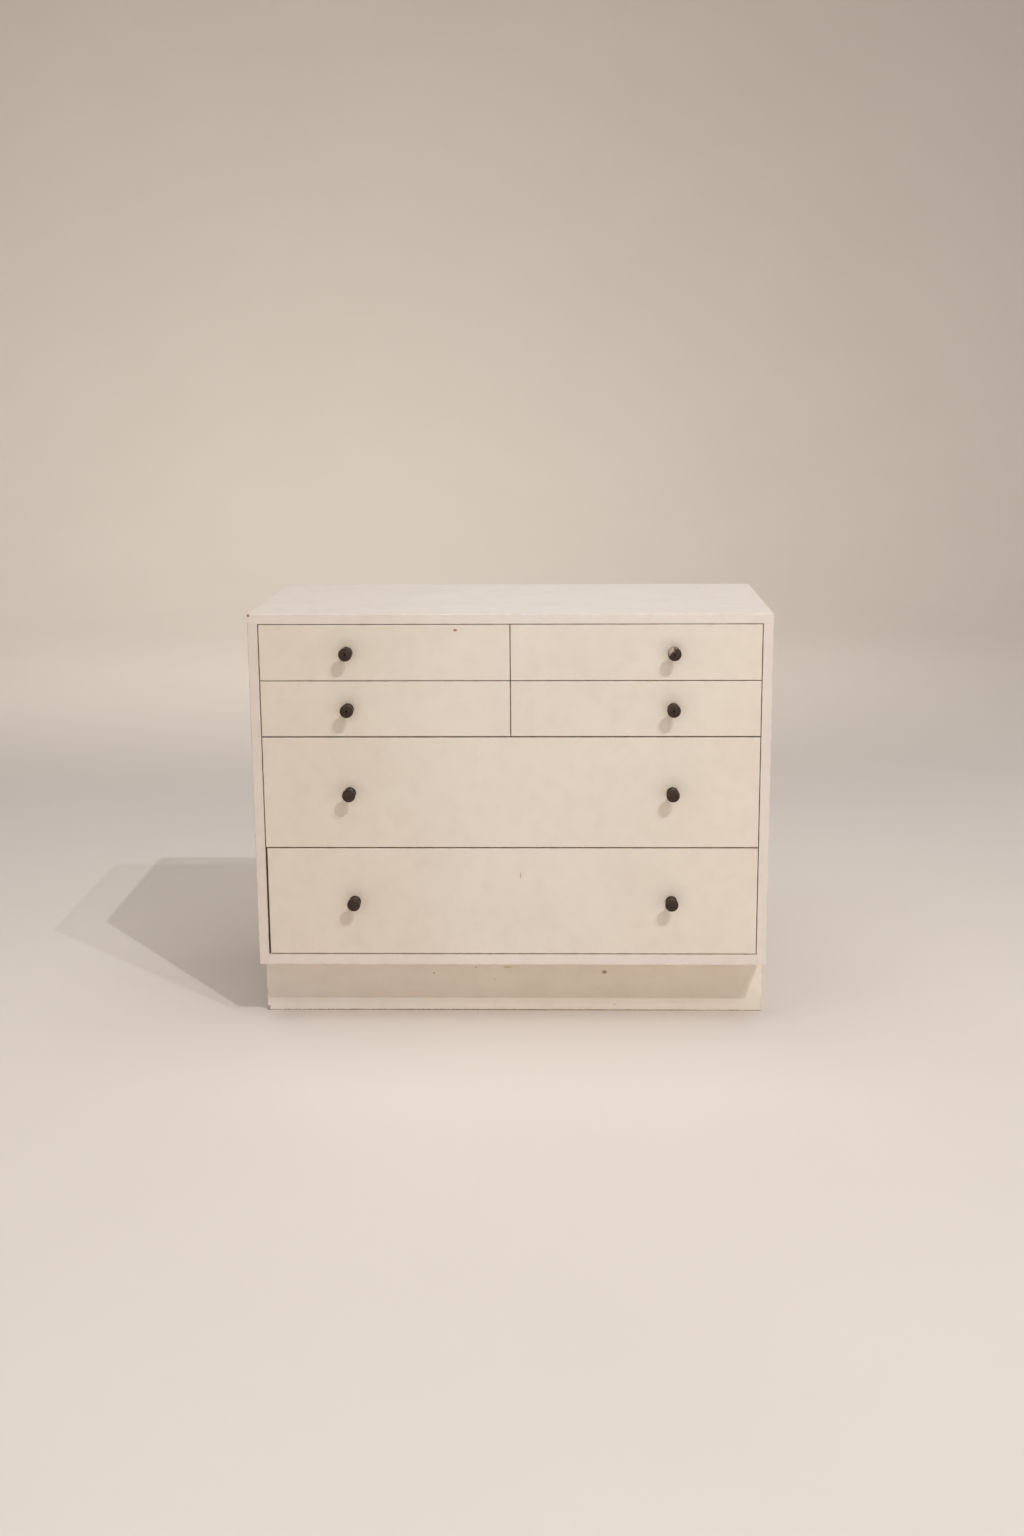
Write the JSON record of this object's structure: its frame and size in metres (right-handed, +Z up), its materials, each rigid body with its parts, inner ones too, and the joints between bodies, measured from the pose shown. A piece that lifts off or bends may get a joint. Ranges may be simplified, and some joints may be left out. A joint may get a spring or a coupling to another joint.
{
  "type": "chest of drawers",
  "caption": "Low painted chest with inset drawers, small ones over wide ones, turned metal knobs and a recessed plinth.",
  "frame": {"origin": "centre of the bounding box at the floor, which the plinth stands on", "axes": "+X across the chest to the right as seen from the front, -Y out of the drawer fronts towards the user, +Z up"},
  "size_m": [0.914, 0.492, 0.745],
  "materials": {
    "case_paint": "worn satin off-white enamel paint over wood",
    "front_paint": "yellowed cream satin enamel paint over wood",
    "plinth_paint": "scuffed cream satin enamel paint over wood",
    "knob_brass": "dark brown patina",
    "frame_pine": "bare planed pine",
    "box_birch": "bare sanded birch",
    "bottom_ply": "bare birch plywood",
    "back_ply": "bare plywood",
    "screw_steel": "plain zinc-plated steel"
  },
  "bodies": {
    "case": {"top_panel": "case_paint", "left_side": "case_paint", "right_side": "case_paint", "bottom_panel": "case_paint", "back_panel": "back_ply", "back_screws": "screw_steel", "upper_front_rail": "frame_pine", "upper_rear_rail": "frame_pine", "upper_runners": "frame_pine", "middle_front_rail": "frame_pine", "middle_rear_rail": "frame_pine", "middle_runners": "frame_pine", "lower_front_rail": "frame_pine", "lower_rear_rail": "frame_pine", "lower_runners": "frame_pine", "upper_partition": "frame_pine", "lower_partition": "frame_pine", "plinth_front": "plinth_paint", "plinth_rear": "plinth_paint", "plinth_left": "plinth_paint", "plinth_right": "plinth_paint", "plinth_blocks": "frame_pine"},
    "top_left_drawer": {"top_left_drawer_front": "front_paint", "top_left_drawer_left_side": "box_birch", "top_left_drawer_right_side": "box_birch", "top_left_drawer_back": "box_birch", "top_left_drawer_bottom": "bottom_ply", "top_left_drawer_knobs": "knob_brass"},
    "top_right_drawer": {"top_right_drawer_front": "front_paint", "top_right_drawer_left_side": "box_birch", "top_right_drawer_right_side": "box_birch", "top_right_drawer_back": "box_birch", "top_right_drawer_bottom": "bottom_ply", "top_right_drawer_knobs": "knob_brass"},
    "second_left_drawer": {"second_left_drawer_front": "front_paint", "second_left_drawer_left_side": "box_birch", "second_left_drawer_right_side": "box_birch", "second_left_drawer_back": "box_birch", "second_left_drawer_bottom": "bottom_ply", "second_left_drawer_knobs": "knob_brass"},
    "second_right_drawer": {"second_right_drawer_front": "front_paint", "second_right_drawer_left_side": "box_birch", "second_right_drawer_right_side": "box_birch", "second_right_drawer_back": "box_birch", "second_right_drawer_bottom": "bottom_ply", "second_right_drawer_knobs": "knob_brass"},
    "third_drawer": {"third_drawer_front": "front_paint", "third_drawer_left_side": "box_birch", "third_drawer_right_side": "box_birch", "third_drawer_back": "box_birch", "third_drawer_bottom": "bottom_ply", "third_drawer_knobs": "knob_brass", "third_drawer_muntin": "frame_pine"},
    "bottom_drawer": {"bottom_drawer_front": "front_paint", "bottom_drawer_left_side": "box_birch", "bottom_drawer_right_side": "box_birch", "bottom_drawer_back": "box_birch", "bottom_drawer_bottom": "bottom_ply", "bottom_drawer_knobs": "knob_brass", "bottom_drawer_muntin": "frame_pine"}
  },
  "joints": [
    {"name": "top_left_drawer_slide", "type": "slide", "parent": "case", "child": "top_left_drawer", "axis": [0, -1, 0], "range_m": [0, 0.33]},
    {"name": "top_right_drawer_slide", "type": "slide", "parent": "case", "child": "top_right_drawer", "axis": [0, -1, 0], "range_m": [0, 0.33]},
    {"name": "second_left_drawer_slide", "type": "slide", "parent": "case", "child": "second_left_drawer", "axis": [0, -1, 0], "range_m": [0, 0.33]},
    {"name": "second_right_drawer_slide", "type": "slide", "parent": "case", "child": "second_right_drawer", "axis": [0, -1, 0], "range_m": [0, 0.33]},
    {"name": "third_drawer_slide", "type": "slide", "parent": "case", "child": "third_drawer", "axis": [0, -1, 0], "range_m": [0, 0.33]},
    {"name": "bottom_drawer_slide", "type": "slide", "parent": "case", "child": "bottom_drawer", "axis": [0, -1, 0], "range_m": [0, 0.33]}
  ]
}
